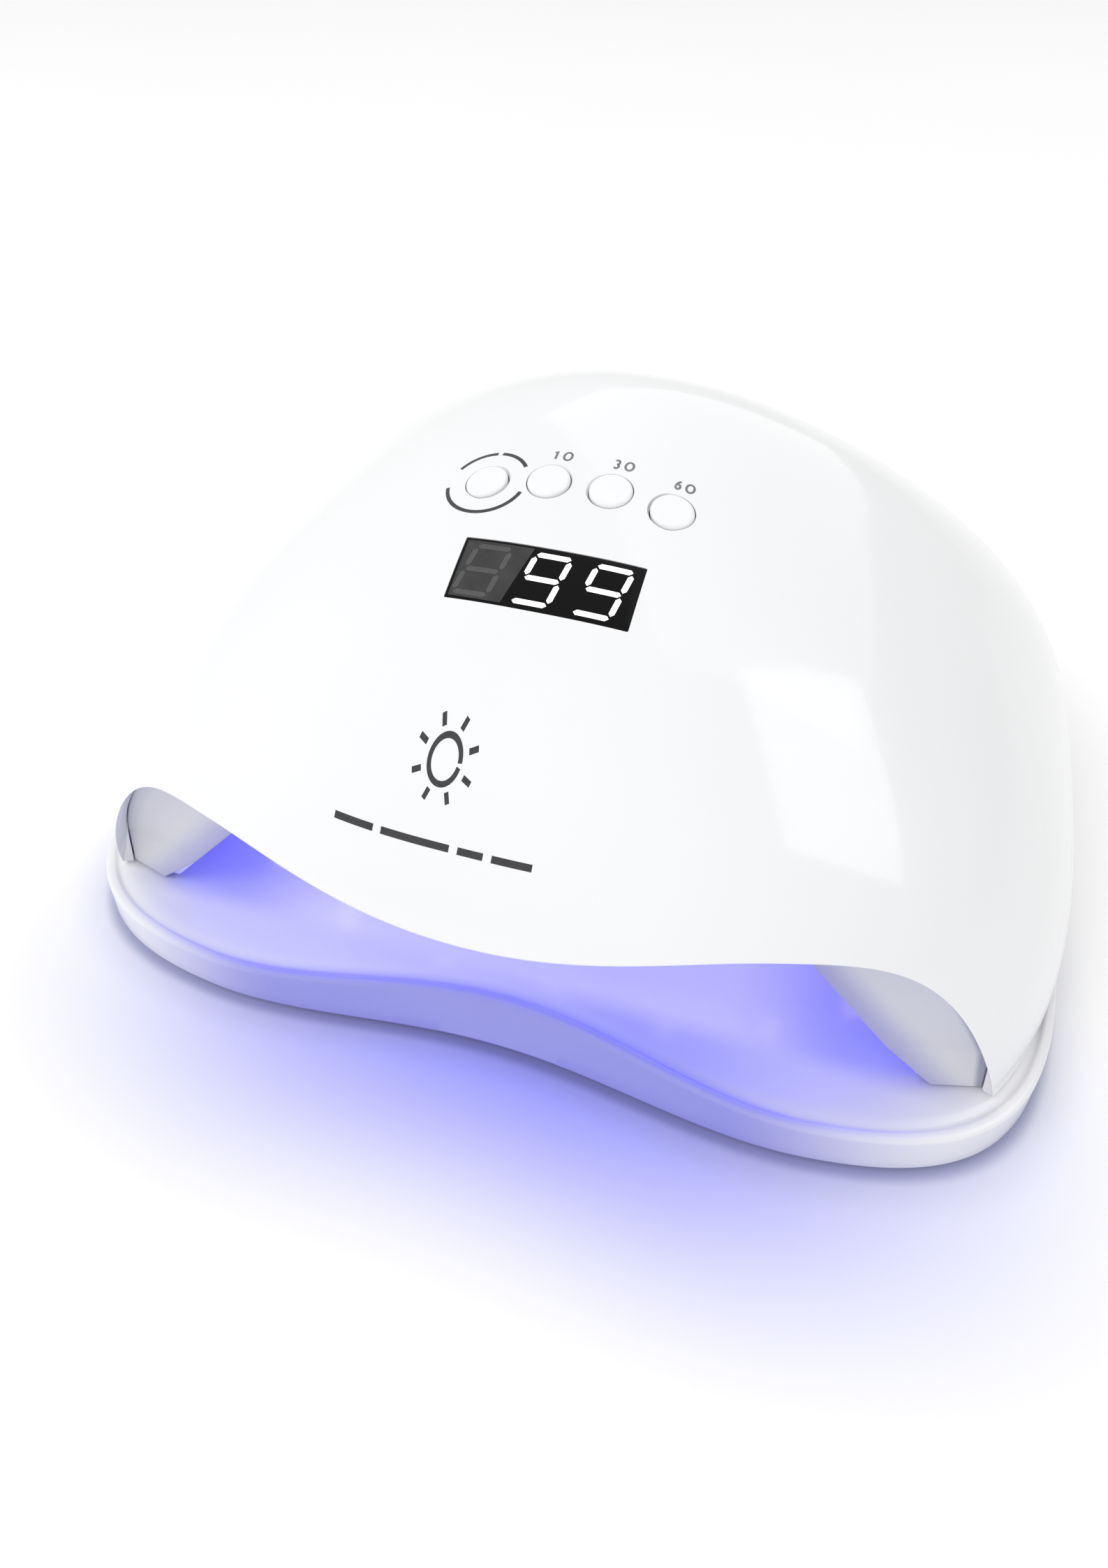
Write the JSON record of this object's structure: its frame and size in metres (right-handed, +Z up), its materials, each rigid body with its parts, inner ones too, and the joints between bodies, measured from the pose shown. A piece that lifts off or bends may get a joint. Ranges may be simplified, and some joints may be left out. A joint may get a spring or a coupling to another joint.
{
  "type": "uv nail curing lamp",
  "caption": "Domed tabletop curing lamp with a front hand opening, violet light chamber, numeric display, push buttons and a lift-off magnetic base.",
  "frame": {"origin": "centre of the plan box, on the table under the feet", "axes": "+X to the right, -Y towards the open front, +Z up"},
  "size_m": [0.224, 0.198, 0.11],
  "materials": {
    "shell_white": "glossy white ABS",
    "base_white": "satin to glossy white ABS",
    "bezel_grey": "satin light grey ABS",
    "reflector_white": "glossy pale reflector plastic",
    "frame_white": "fine matte moulded plastic",
    "button_white": "glossy white key caps",
    "foot_rubber": "soft dark rubber",
    "screw_steel": "zinc-plated steel",
    "magnet_nickel": "nickel-plated magnet",
    "disc_steel": "plain steel",
    "window_black": "polished black acrylic",
    "display_black": "matte black housing",
    "pcb_green": "solder-masked board",
    "chip_black": "moulded chip packages",
    "plunger_brown": "moulded plunger",
    "board_aluminium": "aluminium-core board",
    "lens_clear": "clear moulded lens, lit violet-blue",
    "jack_black": "black moulded socket",
    "pin_nickel": "plated contact pin",
    "lead_red_black": "PVC wire insulation",
    "lead_yellow": "PVC wire insulation"
  },
  "bodies": {
    "base": {"base_cover": "base_white", "base_plate": "frame_white", "base_feet": "foot_rubber", "base_screws": "screw_steel", "base_discs": "disc_steel", "locating_pegs": "disc_steel"},
    "head": {"top_shell": "shell_white", "mouth_bezel": "bezel_grey", "reflector": "reflector_white", "underside_frame": "frame_white", "head_magnets": "magnet_nickel", "shell_screws": "screw_steel", "reflector_screws": "screw_steel", "display_window": "window_black", "display_module": "display_black", "control_board": "pcb_green", "control_chips": "chip_black", "board_screws": "screw_steel", "button_switches": "chip_black", "led_board_top": "board_aluminium", "led_board_left": "board_aluminium", "led_board_right": "board_aluminium", "led_board_rear": "board_aluminium", "leds_top": "lens_clear", "leds_left": "lens_clear", "leds_right": "lens_clear", "leds_rear": "lens_clear", "dc_jack": "jack_black", "dc_contact_pin": "pin_nickel", "dc_jack_nut": "pin_nickel", "hand_sensors": "display_black", "power_leads": "lead_red_black", "led_leads": "lead_yellow"},
    "power_key": {"power_button": "button_white", "power_plunger": "plunger_brown"},
    "timer_key_1": {"timer_button_1": "button_white", "timer_plunger_1": "plunger_brown"},
    "timer_key_2": {"timer_button_2": "button_white", "timer_plunger_2": "plunger_brown"},
    "timer_key_3": {"timer_button_3": "button_white", "timer_plunger_3": "plunger_brown"}
  },
  "joints": [
    {"name": "head_lift", "type": "slide", "parent": "base", "child": "head", "axis": [0, 0, 1], "range_m": [0, 0.12]},
    {"name": "power_press", "type": "slide", "parent": "head", "child": "power_key", "axis": [0, 0.2924, -0.9563], "range_m": [0, 0.0006], "stiffness_N_per_m": 1500},
    {"name": "timer_1_press", "type": "slide", "parent": "head", "child": "timer_key_1", "axis": [0, 0.2924, -0.9563], "range_m": [0, 0.0006], "stiffness_N_per_m": 1500},
    {"name": "timer_2_press", "type": "slide", "parent": "head", "child": "timer_key_2", "axis": [0, 0.2924, -0.9563], "range_m": [0, 0.0006], "stiffness_N_per_m": 1500},
    {"name": "timer_3_press", "type": "slide", "parent": "head", "child": "timer_key_3", "axis": [0, 0.2924, -0.9563], "range_m": [0, 0.0006], "stiffness_N_per_m": 1500}
  ]
}
